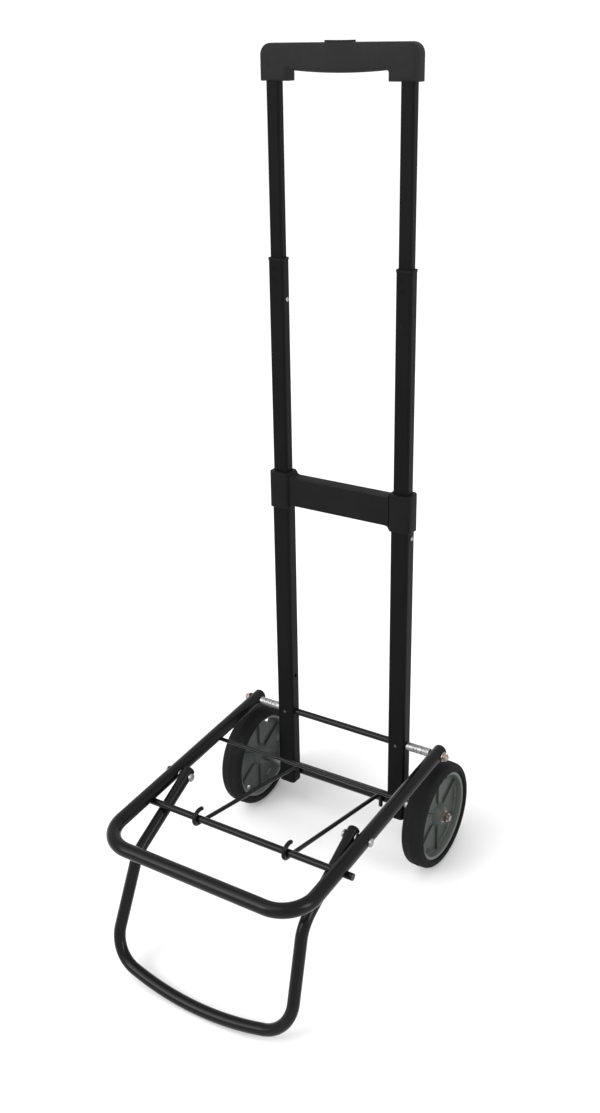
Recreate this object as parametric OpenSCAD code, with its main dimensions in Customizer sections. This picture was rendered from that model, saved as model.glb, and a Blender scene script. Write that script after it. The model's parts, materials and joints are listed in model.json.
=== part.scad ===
// Folding hand truck with a two-stage telescopic handle, two wheels and a folding front leg.
// The upright frame has its zero on the wheel axle, Z along the uprights and -Y to the front.
// place() leans that frame back and stands it on the floor, z = 0.

/* [Uprights] */
// Lean of the uprights from the vertical, degrees
lean = 10; // [6:0.5:14]
// Distance of each upright's centre line from the middle
stage_x = 91.5; // [80:0.5:105]
// Width of the lower tubes, side to side
lower_w = 26; // [24:0.5:30]
// Depth of the lower tubes, front to back
lower_d = 20; // [18.5:0.5:24]
// Wall of all telescoping tubes
tube_t = 1.5; // [1:0.1:2]
// Running gap between a tube and the next, side to side, each side
gap_w = 0.5; // [0.3:0.05:0.8]
// Running gap between a tube and the next, front to back, each side
gap_d = 0.3; // [0.25:0.05:0.5]
// How far the lower tubes reach below the axle
lower_foot = 21; // [16:0.5:30]
// Top of the middle stage above the axle
middle_top = 745; // [680:1:800]
// Underside of the handle's sockets above the axle
handle_z = 956; // [900:1:1010]
// Length of each inner tube that stays inside the outer one
stage_inside = 80; // [60:1:100]
// Radius of the corners of the lower tubes
lower_r = 4; // [2:0.5:6]

/* [Bracket] */
// Underside of the bracket above the axle
bracket_z = 414; // [380:1:450]
// Height of the bracket's collars
collar_h = 51; // [40:1:60]
// Wall of the collars around the tubes
collar_t = 3; // [2.5:0.25:4]
// Height of the bar between the collars
bar_h = 39; // [25:1:40]
// Depth of the bar, front to back
bar_d = 20; // [14:0.5:22]

/* [Handle] */
// Overall width of the handle
handle_w = 212; // [206:1:240]
// Depth of the handle, front to back
handle_d = 24; // [21:0.5:30]
// Height of the handle over its sockets
handle_h = 42; // [36:1:50]
// Width of each socket block
socket_w = 38; // [34:1:42]
// Height of the step from the sockets up to the grip
grip_step = 12; // [8:0.5:15]
// Belly of the grip's underside
grip_belly = 3; // [0:0.5:5]
// Radius of the outer top corners
handle_r = 13; // [6:0.5:18]
// Radius of the long edges
handle_edge_r = 6; // [3:0.5:8]
// Wall of the handle shells
handle_t = 2.4; // [1.8:0.1:3]
// Length of the release button
button_w = 40; // [28:1:50]
// Depth of the release button
button_d = 12; // [8:0.5:14]
// How far the button stands out of the handle
button_up = 3.5; // [3:0.25:6]
// Travel of the button
button_travel = 3; // [2:0.25:4]

/* [Wheels] */
// Radius of the wheels
wheel_r = 76; // [63:0.5:90]
// Width of the tyres
tyre_w = 32; // [26:0.5:34]
// Thickness of the tyre
tyre_t = 12.5; // [9:0.5:18]
// Inner face of each wheel from the middle
wheel_in = 134.6; // [130:0.1:140]
// Diameter of the wheel axle
axle_d = 8; // [6:0.5:10]
// Clearance in radius of the wheels on the axle
wheel_fit = 0.06; // [0.03:0.01:0.1]
// Radius of the hub's boss
boss_r = 12; // [10:0.5:15]
// Number of ribs on each face of the hub
rib_n = 6; // [4:1:8]
// Diameter of the cross tube between the uprights
cross_d = 16; // [12:0.5:18]

/* [Platform] */
// Room between the tyres and the platform's arms above them
arm_clearance = 9.4; // [6:0.1:15]
// Slope of the platform down to the front, against a square to the uprights, degrees
slope = 5.4; // [3:0.1:8]
// Distance of each platform arm from the middle
arm_x = 150; // [148:0.5:156]
// Length of the platform from pivot to front bar
deck_l = 356; // [335:1:380]
// Diameter of the platform tube
deck_d = 19; // [16:0.5:20]
// Radius of the bends at the platform's front corners
deck_r = 44; // [30:1:60]
// Diameter of the pivot rod
pivot_d = 6; // [5:0.5:7]
// Clearance in radius of the arms on the pivot rod
pivot_fit = 0.08; // [0.03:0.01:0.1]
// Diameter of the black sleeve over the pivot rod
sleeve_d = 9.5; // [8:0.5:11]
// Distance of the rear cross rod from the pivot
rear_rod_s = 96.5; // [90:0.5:110]
// Diameter of the rear cross rod
rear_rod_d = 5.5; // [4:0.5:7]
// Distance of the front cross rod from the pivot
front_rod_s = 254; // [248:0.5:262]
// Diameter of the front cross rod
front_rod_d = 9.5; // [8:0.5:10]
// How far the front rod's centre lies below the arms' centre
front_rod_drop = 9; // [8.5:0.25:12]
// Distance of the hook wires from the middle
wire_x = 70; // [55:1:72]
// Diameter of the hook wires
wire_d = 6; // [4:0.5:6]

/* [Leg] */
// Distance of the leg's pivots from the platform's pivot
leg_pivot_s = 198.5; // [190:0.5:206]
// Room between each leg arm and the platform's arm beside it
leg_side_gap = 1.8; // [1.5:0.1:6]
// Diameter of the leg tube
leg_d = 16; // [14:0.5:16.5]
// Angle of the leg's upper part below the platform
leg_up_a = 22.9; // [22.5:0.1:26]
// Length of the leg's upper part to its bend
leg_up = 126; // [120:1:140]
// Angle of the leg's lower part below the platform
leg_low_a = 63.9; // [58:0.1:68]
// Angle at which the leg's lower arms spread outwards, degrees
leg_splay = 4; // [0:0.5:5]
// Radius of the bend in the leg's arms
leg_bend_r = 45; // [30:1:60]
// Radius of the leg's lower corners
leg_corner_r = 45; // [30:1:55]
// Radius of the bow of the foot bar
foot_bow_r = 420; // [300:10:700]
// Diameter of the leg's rivets
leg_rivet_d = 6; // [5:0.5:7]

/* [Hidden] */
$fn = 48;

eps = 0.01;
// Bends are drawn out a hair thinner than the straight tube, which laps over them
thin = 0.04;
lap = 0.4;
// Free play between pieces that only sit against each other
seat = 0.05;
// Smallest radius of a tube's inner corners
min_r = 0.5;
// Play between pieces of different bodies that rest on each other
rest_gap = 0.3;

// Sizes of the middle and upper tubes follow the lower ones
middle_w = lower_w - 2 * tube_t - 2 * gap_w;
middle_d = lower_d - 2 * tube_t - 2 * gap_d;
middle_r = lower_r - 0.5;
upper_w = middle_w - 2 * tube_t - 2 * gap_w;
upper_d = middle_d - 2 * tube_t - 2 * gap_d;
upper_r = middle_r - 0.5;
guide_gap = 0.12;
bracket_top = bracket_z + collar_h;
collar_lip = 6;
lower_top = bracket_top - collar_lip;
middle_foot = bracket_top - stage_inside;
upper_foot = middle_top - stage_inside;
top_collar_h = 3;
top_plug_h = 8;
shoe_h = 4;
shoe_plug_h = 8;
shoe_wall = 2;
crimp_n = 2;
crimp_pitch = 13;
crimp_w = 6;
crimp_t = 0.4;

handle_top = handle_z + handle_h;
socket_depth = 26;
upper_top = handle_z + socket_depth;
cavity_x = handle_w / 2 - socket_w - 1;
handle_screw_x = stage_x - 17;
handle_screw_z = handle_z + 7;
dish_r = 80;
dish_h = 1;
yoke_top = handle_top - handle_t - button_travel;
yoke_h = 4;
yoke_d = 8;

// Snap pins
spare_hole_z = 154;
pin_r = 3;
pin_play = 0.1;
pin_in = 0.9;
pin_out = 2.3;
pin_dome = 1.5;
pin_drop = 49;
lower_pin_z = bracket_z - 9;
upper_pin_z = middle_top - pin_drop;
// Spring clips behind the pins
clip_t = 0.8;
clip_play = 1;
clip_below = 7;
clip_h = 30;
nib_r = pin_r - 0.8;
nib_in = 0.15;
nib_play = 0.4;
rod_above_pin = clip_h - clip_below + 3;

// Wheels and axle
rim_r = wheel_r - tyre_t;
rim_w = tyre_w - 5;
rim_t = 5;
wheel_mid = wheel_in + tyre_w / 2;
web_t = 4;
axle_r = axle_d / 2;
nut_h = 6;
nut_r = 7;
washer_t = 1.2;
spacer_r = axle_r + 2.5;
upright_out = stage_x + lower_w / 2;
upright_in = stage_x - lower_w / 2;
boss_w = tyre_w - 6;
boss_out = wheel_mid + boss_w / 2;
boss_in = wheel_mid - boss_w / 2;
axle_end = boss_out + washer_t + nut_h + 3;

// Screws and rivets
screw_r = 1.5;
screw_head_r = 3.2;
screw_head_h = 1.6;
front_rivet_r = 1.5;

// Pivot hardware
deck_tube_r = deck_d / 2;
pivot_z = wheel_r + arm_clearance + deck_tube_r;
pivot_r = pivot_d / 2;
arm_in = arm_x - deck_tube_r;
arm_out = arm_x + deck_tube_r;
pivot_end = arm_out + washer_t + 4;
cap_h = 7;
cap_r = 5.6;
spacer_groove = 2;

// Leg, worked out so that the foot bar reaches the floor
leg_r = leg_d / 2;
leg_x = arm_in - leg_side_gap - leg_r;
leg_bend_a = leg_low_a - leg_up_a;
up_a = slope + leg_up_a;
low_a = slope + leg_low_a;
leg_u = leg_pivot_s * cos(slope);
leg_z = pivot_z - leg_pivot_s * sin(slope);
bend_u = leg_u + leg_up * cos(up_a);
bend_z = leg_z - leg_up * sin(up_a);
function row_z(u, z) = wheel_r + u * sin(lean) + z * cos(lean);
function row_y(u, z) = z * sin(lean) - u * cos(lean);
leg_low = (row_z(bend_u, bend_z) - leg_r) / sin(low_a - lean);
foot_u = bend_u + leg_low * cos(low_a);
foot_z = bend_z - leg_low * sin(low_a);
rivet_in = leg_x - leg_r;
rivet_head_r = 5.8;
rivet_dome = 2;
rivet_gap = 0.8;
// Room that the arm's round side needs beside a washer
arm_curve = 0.4;

// Middle of the object's length, so that the origin is under the middle of its box
front_y = row_y(foot_u, foot_z) - leg_r;
edge_r = handle_edge_r;
back_y = row_y(edge_r - handle_d / 2, handle_top - edge_r) + edge_r;
origin_y = -(front_y + back_y) / 2;

black = [0.05, 0.05, 0.055];
plastic = [0.09, 0.09, 0.095];
steel = [0.75, 0.75, 0.76];
hub_grey = [0.40, 0.43, 0.41];
rubber = [0.07, 0.07, 0.07];
nylon = [0.8, 0.8, 0.78];
copper = [0.62, 0.52, 0.42];

// ---- frames ----
module place() {
    translate([0, origin_y, wheel_r]) rotate([-lean, 0, 0]) children();
}
module deck_frame() {
    place() translate([0, 0, pivot_z]) rotate([slope, 0, 0]) children();
}
module leg_frame_of() {
    deck_frame() translate([0, -leg_pivot_s, 0]) rotate([leg_up_a, 0, 0]) children();
}

// ---- shapes ----
module rounded(w, d, r) {
    square([w - 2 * r, d], center = true);
    square([w, d - 2 * r], center = true);
    for (x = [-1, 1], y = [-1, 1])
        translate([x * (w / 2 - r), y * (d / 2 - r)]) circle(r);
}
module bar(w, d, r, z1, z2) {
    translate([0, 0, z1]) linear_extrude(z2 - z1) rounded(w, d, r);
}
module xrod(r, x1, x2) {
    translate([x1, 0, 0]) rotate([0, 90, 0]) cylinder(r = r, h = x2 - x1);
}
module xring(ro, ri, x1, x2) {
    difference() {
        xrod(ro, x1, x2);
        xrod(ri, x1 - 1, x2 + 1);
    }
}
// Straight round bar from the origin along -Y
module yrod(r, len) {
    rotate([90, 0, 0]) cylinder(r = r, h = len);
}
// Arc of round bar in the YZ plane: from below, round the front and over the top
module rise_arc(r, b, start, a) {
    rotate([0, 90, 0]) rotate([180, 0, 0]) rotate([0, 0, start])
        rotate_extrude(angle = a) translate([b, 0]) circle(r);
}
// Turned piece on the X axis: cylinder from x1 to x2, then a low dome of height h
module domed(r, x1, x2, h) {
    steps = 6;
    rotate([0, 90, 0]) rotate_extrude() polygon(concat(
        [[0, x1], [r, x1]],
        [for (i = [0 : steps - 1]) [r * cos(90 * i / steps), x2 + h * sin(90 * i / steps)]],
        [[0, x2 + h]]));
}
// Plug with a domed head for the open end of a tube that ends at y = r
module end_cap(r, wall, len) {
    translate([0, r + seat, 0]) rotate([0, 0, 90]) union() {
        domed(r, 0, 0.6, r * 0.55);
        xrod(r - wall - seat, -len, 0.5);
    }
}
// Screw along -Y with a slotted head outside y = 0
module screw(len) {
    yrod(screw_r, len);
    translate([0, screw_head_h, 0]) difference() {
        yrod(screw_head_r, screw_head_h - seat);
        translate([-2 * screw_head_r, -0.6, -0.4]) cube([4 * screw_head_r, 1, 0.8]);
    }
    translate([0, screw_head_h / 2, 0]) yrod(screw_r, screw_head_h);
}
// Hexagon nut along X with a bore
module hex_nut(r, ri, x1, x2) {
    difference() {
        translate([x1, 0, 0]) rotate([0, 90, 0]) cylinder(r = r, h = x2 - x1, $fn = 6);
        xrod(ri, x1 - 1, x2 + 1);
    }
}

// ---- lower frame ----
module lower_upright(side) {
    color(black) place() translate([side * stage_x, 0, 0]) difference() {
        bar(lower_w, lower_d, lower_r, -lower_foot, lower_top);
        bar(lower_w - 2 * tube_t, lower_d - 2 * tube_t, lower_r - tube_t, -lower_foot - 1, lower_top + 1);
        xrod(axle_r + seat, -lower_w, lower_w);
        translate([0, 0, pivot_z]) xrod(pivot_r + seat, -lower_w, lower_w);
        // hole of the snap pin, on the outer side
        translate([0, 0, lower_pin_z]) scale([side, 1, 1]) xrod(pin_r + pin_play, 0, lower_w);
        // spare hole on the inner side
        translate([0, 0, spare_hole_z]) scale([-side, 1, 1]) xrod(pin_r, 0, lower_w);
        // rivet hole at the pivot, on the front
        translate([0, 0, pivot_z + 1]) yrod(front_rivet_r + seat, lower_d);
    }
}
module upright_plug(side) {
    color(plastic) place() translate([side * stage_x, 0, 0]) {
        bar(lower_w - 2 * tube_t - 2 * seat, lower_d - 2 * tube_t - 2 * seat, lower_r - tube_t,
            -lower_foot - 2, -axle_r - 2);
        bar(lower_w - 1, lower_d - 1, lower_r, -lower_foot - 3, -lower_foot - seat);
        bar(lower_w - 4, lower_d - 4, lower_r, -lower_foot - 4.5, -lower_foot - 1);
    }
}
module cross_tube() {
    color(black) place() xring(cross_d / 2, axle_r + seat, -upright_in + seat, upright_in - seat);
}
module wheel_axle() {
    color(steel) place() xrod(axle_r, -axle_end, axle_end);
}
module axle_spacers() {
    color(steel) place() for (s = [-1, 1]) scale([s, 1, 1])
        xring(spacer_r, axle_r + seat, upright_out + seat, boss_in - 0.2);
}
module axle_washers() {
    color(copper) place() for (s = [-1, 1]) scale([s, 1, 1])
        xring(nut_r + 1.5, axle_r + seat, boss_out + 0.2, boss_out + 0.2 + washer_t);
}
module axle_nuts() {
    color(copper) place() for (s = [-1, 1]) scale([s, 1, 1])
        hex_nut(nut_r, axle_r + seat, boss_out + 0.2 + washer_t + seat, boss_out + washer_t + nut_h);
}
module pivot_rod() {
    color(steel) place() translate([0, 0, pivot_z]) xrod(pivot_r, -pivot_end, pivot_end);
}
module pivot_sleeve() {
    color(black) place() translate([0, 0, pivot_z])
        xring(sleeve_d / 2, pivot_r + seat, -upright_in + seat, upright_in - seat);
}
// Turned spacer in three lengths with two grooves
module pivot_spacer(side) {
    len = arm_in - upright_out - 2 * rest_gap;
    third = (len - 2 * spacer_groove) / 3;
    color(steel) place() translate([0, 0, pivot_z]) scale([side, 1, 1])
        translate([upright_out + rest_gap, 0, 0]) difference() {
            union() {
                xrod(5, 0, len);
                xrod(6, 0, third);
                xrod(6, third + spacer_groove, 2 * third + spacer_groove);
                xrod(6, 2 * third + 2 * spacer_groove, len);
            }
            xrod(pivot_r + seat, -1, len + 1);
        }
}
module pivot_washers() {
    color(steel) place() translate([0, 0, pivot_z]) for (s = [-1, 1]) scale([s, 1, 1])
        xring(cap_r + 1, pivot_r + seat, arm_out + rest_gap, arm_out + rest_gap + washer_t);
}
module pivot_cap_nuts() {
    x0 = arm_out + rest_gap + washer_t + seat;
    color(steel) place() translate([0, 0, pivot_z]) for (s = [-1, 1]) scale([s, 1, 1])
        difference() {
            union() {
                translate([x0, 0, 0]) rotate([0, 90, 0]) cylinder(r = cap_r, h = cap_h - 3, $fn = 6);
                domed(cap_r - 1.2, x0 + 1, x0 + cap_h - 3, 3);
            }
            xrod(pivot_r + seat, x0 - 1, pivot_end + seat);
        }
}
module upright_rivets() {
    color(steel) place() for (s = [-1, 1])
        translate([s * stage_x, tube_t - lower_d / 2, pivot_z + 1]) {
            yrod(front_rivet_r, tube_t + 0.5);
            translate([0, -tube_t - seat, 0]) yrod(front_rivet_r + 0.7, 0.8);
        }
}
module stage_bracket() {
    cw = lower_w + 2 * collar_t;
    cd = lower_d + 2 * collar_t;
    color(plastic) place() difference() {
        union() {
            for (s = [-1, 1]) translate([s * stage_x, 0, 0])
                bar(cw, cd, lower_r + collar_t, bracket_z, bracket_top);
            translate([-stage_x, -bar_d / 2, bracket_z + (collar_h - bar_h) / 2])
                cube([2 * stage_x, bar_d, bar_h]);
        }
        // cored out from the back, with one middle rib left
        for (s = [-1, 1])
            translate([s > 0 ? 2 : -upright_in + 8, -bar_d / 2 + 3, bracket_z + (collar_h - bar_h) / 2 + 3])
                cube([upright_in - 10, bar_d, bar_h - 6]);
        for (s = [-1, 1]) translate([s * stage_x, 0, 0]) {
            bar(lower_w + 2 * seat, lower_d + 2 * seat, lower_r + seat, bracket_z - 1, lower_top + seat);
            bar(middle_w + 2 * guide_gap, middle_d + 2 * guide_gap, middle_r + guide_gap,
                bracket_z, bracket_top + 1);
            // screw hole at the back
            translate([0, lower_d + collar_t, bracket_z + collar_h / 2]) yrod(screw_r + seat, lower_d);
        }
    }
}
module bracket_screws() {
    color(steel) place() for (s = [-1, 1])
        translate([s * stage_x, lower_d / 2 + collar_t, bracket_z + collar_h / 2]) screw(collar_t - seat);
}

// ---- telescoping stages ----
module stage_tube(w, d, r, side, z1, z2, pin_z, pin_side) {
    color(black) place() translate([side * stage_x, 0, 0]) difference() {
        bar(w, d, r, z1, z2);
        bar(w - 2 * tube_t, d - 2 * tube_t, max(r - tube_t, min_r), z1 - 1, z2 + 1);
        translate([0, 0, pin_z]) scale([pin_side, 1, 1]) xrod(pin_r + pin_play, 0, w);
    }
}
module middle_tube(side) {
    difference() {
        stage_tube(middle_w, middle_d, middle_r, side, middle_foot, middle_top, upper_pin_z, -side);
        // hole for the lower clip's nib, on the outer side
        place() translate([side * stage_x, 0, lower_pin_z]) scale([side, 1, 1])
            xrod(nib_r + nib_play, 0, middle_w);
        // crimps on the front that hold the top collar
        place() for (k = [1 : crimp_n])
            translate([side * stage_x - crimp_w / 2, -middle_d / 2 - crimp_w, middle_top - k * crimp_pitch])
                cube([crimp_w, crimp_w + crimp_t, crimp_w]);
    }
}
// Shoe on the foot of an inner tube, with a hollow plug inside the tube
module guide_shoe(w, d, r, foot) {
    plug_w = w - 2 * tube_t - 2 * seat;
    plug_d = d - 2 * tube_t - 2 * seat;
    plug_r = max(r - tube_t, min_r);
    difference() {
        union() {
            bar(w + 2 * (gap_w - guide_gap), d + 2 * (gap_d - guide_gap), r, foot - shoe_h, foot - seat);
            bar(plug_w, plug_d, plug_r, foot - shoe_h / 2, foot + shoe_plug_h);
        }
        bar(plug_w - 2 * shoe_wall, plug_d - 2 * shoe_wall, min_r, foot - shoe_h - 1, foot + shoe_plug_h + 1);
    }
}
module middle_guide_shoes() {
    color(nylon) place() for (s = [-1, 1]) translate([s * stage_x, 0, 0])
        guide_shoe(middle_w, middle_d, middle_r, middle_foot);
}
module middle_top_collars() {
    color(plastic) place() for (s = [-1, 1]) translate([s * stage_x, 0, 0]) difference() {
        union() {
            bar(middle_w + 1.2, middle_d + 1.2, middle_r + 0.6, middle_top + seat, middle_top + top_collar_h);
            bar(middle_w - 2 * tube_t - 2 * seat, middle_d - 2 * tube_t - 2 * seat, middle_r - tube_t,
                middle_top - top_plug_h, middle_top + 1);
        }
        bar(upper_w + 2 * guide_gap, upper_d + 2 * guide_gap, upper_r + guide_gap,
            middle_top - top_plug_h - 1, middle_top + top_collar_h + 1);
    }
}
// Leaf spring bent over at the top, in an inner tube, with a nib that pushes the snap pin
module spring_clip(w, d, z) {
    leg_w = w / 2 - tube_t - clip_play;
    translate([0, -d / 4, z - clip_below]) difference() {
        translate([-leg_w, 0, 0]) cube([2 * leg_w, d / 2, clip_h]);
        translate([clip_t - leg_w, -1, -1]) cube([2 * (leg_w - clip_t), d, clip_h - clip_t + 1]);
    }
    translate([0, 0, z]) xrod(nib_r, leg_w - clip_t / 2, w / 2 - nib_in);
}
module lower_spring_clips() {
    color(steel) place() for (s = [-1, 1]) translate([s * stage_x, 0, 0]) scale([s, 1, 1])
        spring_clip(middle_w, middle_d, lower_pin_z);
}
module upper_tube(side) {
    stage_tube(upper_w, upper_d, upper_r, side, upper_foot, upper_top, upper_pin_z, -side);
}
module upper_guide_shoes() {
    color(nylon) place() for (s = [-1, 1]) translate([s * stage_x, 0, 0])
        guide_shoe(upper_w, upper_d, upper_r, upper_foot);
}
module upper_spring_clips() {
    color(steel) place() for (s = [-1, 1]) translate([s * stage_x, 0, 0]) scale([-s, 1, 1])
        spring_clip(upper_w, upper_d, upper_pin_z);
}
module snap_pin(face_x, dir, z) {
    color(steel) place() translate([face_x, 0, z]) scale([dir, 1, 1])
        domed(pin_r, pin_in - tube_t, pin_out - pin_dome, pin_dome);
}

// ---- handle ----
// Outline from the front, inset by t; the inset one leaves the sockets solid around the tubes
module handle_outline(t) {
    w = handle_w / 2 - t;
    r = handle_r - t;
    top = handle_top - t;
    low = t > 0 ? upper_top + 1 : handle_z;
    step_x = handle_w / 2 - socket_w + t;
    grip = handle_z + grip_step + t;
    bow_r = step_x * step_x / (2 * grip_belly + eps) + grip_belly / 2;
    difference() {
        union() {
            translate([-w, low]) square([2 * w, top - r - low]);
            translate([r - w, top - r - eps]) square([2 * (w - r), r + eps]);
            for (s = [-1, 1]) translate([s * (w - r), top - r]) circle(r);
            if (t > 0) translate([-cavity_x, handle_z]) square([2 * cavity_x, top - r - handle_z]);
        }
        // step up to the grip, whose underside bellies down in the middle
        difference() {
            translate([-step_x, handle_z - 1]) square([2 * step_x, grip_step + t + 1]);
            intersection() {
                translate([0, grip - grip_belly + bow_r]) circle(bow_r, $fn = 180);
                translate([-step_x, handle_z]) square([2 * step_x, 2 * grip_step]);
            }
        }
    }
}
module handle_solid(t) {
    r = handle_edge_r - t / 2;
    d = handle_d - 2 * t;
    intersection() {
        translate([0, d / 2, 0]) rotate([90, 0, 0]) linear_extrude(d) handle_outline(t);
        rotate([90, 0, 90]) translate([0, 0, -handle_w]) linear_extrude(2 * handle_w) union() {
            translate([-d / 2, handle_z - 2]) square([d, handle_h - t - r + 2]);
            translate([-d / 2 + r, handle_z]) square([d - 2 * r, handle_h - t]);
            for (s = [-1, 1]) translate([s * (d / 2 - r), handle_top - t - r]) circle(r);
        }
    }
}
module handle_shell(side) {
    color(plastic) place() difference() {
        handle_solid(0);
        handle_solid(handle_t);
        // the other half
        translate([-handle_w, side > 0 ? seat / 2 - handle_d : -seat / 2, handle_z - 5])
            cube([2 * handle_w, handle_d, 2 * handle_h]);
        for (s = [-1, 1]) translate([s * stage_x, 0, 0])
            bar(upper_w + 2 * seat, upper_d + 2 * seat, upper_r + seat, handle_z - 1, upper_top + seat);
        // opening of the button
        bar(button_w + 2 * rest_gap, button_d + 2 * rest_gap, button_d / 2 + rest_gap - eps,
            handle_top - handle_t - 2, handle_top + 2);
        // screw holes, blind in the front half
        for (s = [-1, 1]) translate([s * handle_screw_x, handle_d, handle_screw_z])
            yrod(screw_r + seat, 1.5 * handle_d - handle_t);
    }
}
module handle_screws() {
    color(steel) place() for (s = [-1, 1]) translate([s * handle_screw_x, handle_d / 2, handle_screw_z])
        screw(handle_d - handle_t - 1);
}
module release_button() {
    color(plastic) place() difference() {
        bar(button_w, button_d, button_d / 2 - eps, yoke_top + seat, handle_top + button_up);
        // finger dish
        translate([0, button_d, handle_top + button_up + dish_r - dish_h])
            rotate([90, 0, 0]) cylinder(r = dish_r, h = 2 * button_d, $fn = 180);
    }
}
module release_yoke() {
    color(steel) place() translate([-stage_x - yoke_d / 2, -yoke_d / 2, yoke_top - yoke_h])
        cube([2 * stage_x + yoke_d, yoke_d, yoke_h]);
}
module release_rods() {
    low = upper_pin_z + rod_above_pin;
    color(steel) place() for (s = [-1, 1]) translate([s * stage_x, 0, low])
        cylinder(r = 1.5, h = yoke_top - yoke_h - seat - low);
}
spring_r = 3;
spring_wire = 0.5;
spring_turns = 3;
module release_spring() {
    low = handle_z + grip_step + handle_t - grip_belly + 0.8 + spring_wire;
    high = yoke_top - yoke_h - spring_wire - 0.1;
    n = 18 * spring_turns;
    sides = 8;
    pts = [for (i = [0 : n]) let (a = i * 20, z = low + (high - low) * i / n)
        for (k = [0 : sides - 1]) let (b = 360 * k / sides, q = spring_r + spring_wire * cos(b))
            [q * cos(a), q * sin(a), z + spring_wire * sin(b)]];
    quads = [for (i = [0 : n - 1], k = [0 : sides - 1])
        [i * sides + k, i * sides + (k + 1) % sides, (i + 1) * sides + (k + 1) % sides, (i + 1) * sides + k]];
    ends = [[for (k = [0 : sides - 1]) sides - 1 - k], [for (k = [0 : sides - 1]) n * sides + k]];
    color(steel) place() polyhedron(pts, concat(quads, ends), convexity = 6);
}

// ---- wheels, drawn on the X axis through zero ----
module spin_x() {
    rotate([0, 90, 0]) rotate_extrude($fn = 120) children();
}
module tyre(side) {
    h = tyre_w / 2;
    s = 7;
    color(rubber) place() translate([side * wheel_mid, 0, 0]) spin_x() difference() {
        union() {
            translate([rim_r + seat, -h + 2]) square([tyre_t - seat - s, tyre_w - 4]);
            translate([rim_r + seat + 2, -h]) square([tyre_t - s - 2 - seat, tyre_w]);
            translate([wheel_r - s, -h + s]) square([s, tyre_w - 2 * s]);
            for (k = [-1, 1]) {
                translate([wheel_r - s, k * (h - s)]) circle(s);
                translate([rim_r + seat + 2, k * (h - 2)]) circle(2);
            }
        }
        translate([0, -h - 1]) square([rim_r + seat, tyre_w + 2]);
    }
}
module hub(side) {
    bore = axle_r + wheel_fit;
    color(hub_grey) place() translate([side * wheel_mid, 0, 0]) scale([side, 1, 1]) difference() {
        union() {
            spin_x() {
                // rim, web and boss
                translate([rim_r - rim_t, -rim_w / 2]) square([rim_t, rim_w]);
                translate([boss_r - 3, -web_t / 2]) square([rim_r - boss_r, web_t]);
                polygon([
                    [bore, -boss_w / 2], [boss_r - 3, -boss_w / 2], [boss_r + 3, -web_t / 2],
                    [boss_r + 3, web_t / 2], [boss_r - 3, boss_w / 2], [bore, boss_w / 2]
                ]);
            }
            for (k = [0 : rib_n - 1]) rotate([k * 360 / rib_n, 0, 0])
                translate([-rim_w / 2 + 4, -1, boss_r - 1]) cube([rim_w - 8, 2, rim_r - rim_t - boss_r + 2]);
        }
        // windows beside the ribs, near the rim
        for (k = [0 : rib_n - 1]) rotate([(k + 0.5) * 360 / rib_n, 0, 0])
            translate([0, 0, rim_r - rim_t - 8]) xrod(4, -web_t, web_t);
    }
}

// ---- platform, drawn in its own plane with the pivot at zero ----
module platform_frame() {
    straight = arm_x - deck_r;
    color(black) deck_frame() difference() {
        union() {
            for (s = [-1, 1]) translate([s * arm_x, 0, 0]) {
                translate([0, deck_tube_r, 0]) yrod(deck_tube_r, deck_l - deck_r + deck_tube_r);
            }
            translate([0, -deck_l, 0]) xrod(deck_tube_r, -straight, straight);
            for (s = [-1, 1]) translate([s * straight, -deck_l + deck_r, 0]) scale([s, 1, 1])
                rotate([0, 0, -90]) rotate_extrude(angle = 90) translate([deck_r, 0]) circle(deck_tube_r);
        }
        // hollow rear ends, where the end caps go in
        for (s = [-1, 1]) translate([s * arm_x, deck_tube_r + 1, 0]) yrod(deck_tube_r - tube_t, 40);
        xrod(pivot_r + pivot_fit, -arm_out - 1, arm_out + 1);
        translate([0, -leg_pivot_s, 0]) xrod(leg_rivet_d / 2 + seat, -arm_out - 1, arm_out + 1);
        translate([0, -rear_rod_s, -deck_tube_r]) xrod(rear_rod_d / 2 + seat, -arm_out - 1, arm_out + 1);
        translate([0, -front_rod_s, -front_rod_drop]) xrod(front_rod_d / 2 + seat, -arm_out - 9, arm_out + 9);
    }
}
module arm_end_caps() {
    color(plastic) deck_frame() for (s = [-1, 1]) translate([s * arm_x, 0, 0]) difference() {
        end_cap(deck_tube_r, tube_t, 30);
        xrod(pivot_r + pivot_fit, -deck_d, deck_d);
    }
}
module rear_cross_rod() {
    color(black) deck_frame() translate([0, -rear_rod_s, -deck_tube_r])
        xrod(rear_rod_d / 2, -arm_x, arm_x);
}
module front_cross_rod() {
    color(black) deck_frame() translate([0, -front_rod_s, -front_rod_drop])
        xrod(front_rod_d / 2, -arm_out, arm_out + 7);
}
// Wire from under the front rod to the front of the cross tube, all in the upright frame
wire_r = wire_d / 2;
rod_u = front_rod_s * cos(slope) - front_rod_drop * sin(slope);
rod_z = pivot_z - front_rod_s * sin(slope) - front_rod_drop * cos(slope);
hook_r = front_rod_d / 2 + wire_r + seat;
wire_rear_u = cross_d / 2 + wire_r + rest_gap;
wire_rear_z = cross_d / 2 + wire_r + 1;
wire_span = norm([rod_z - wire_rear_z, rod_u - wire_rear_u]);
wire_a = atan2(rod_z - wire_rear_z, rod_u - wire_rear_u) - asin(hook_r / wire_span);
wire_len = sqrt(wire_span * wire_span - hook_r * hook_r);
wire_down = 20;
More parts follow.
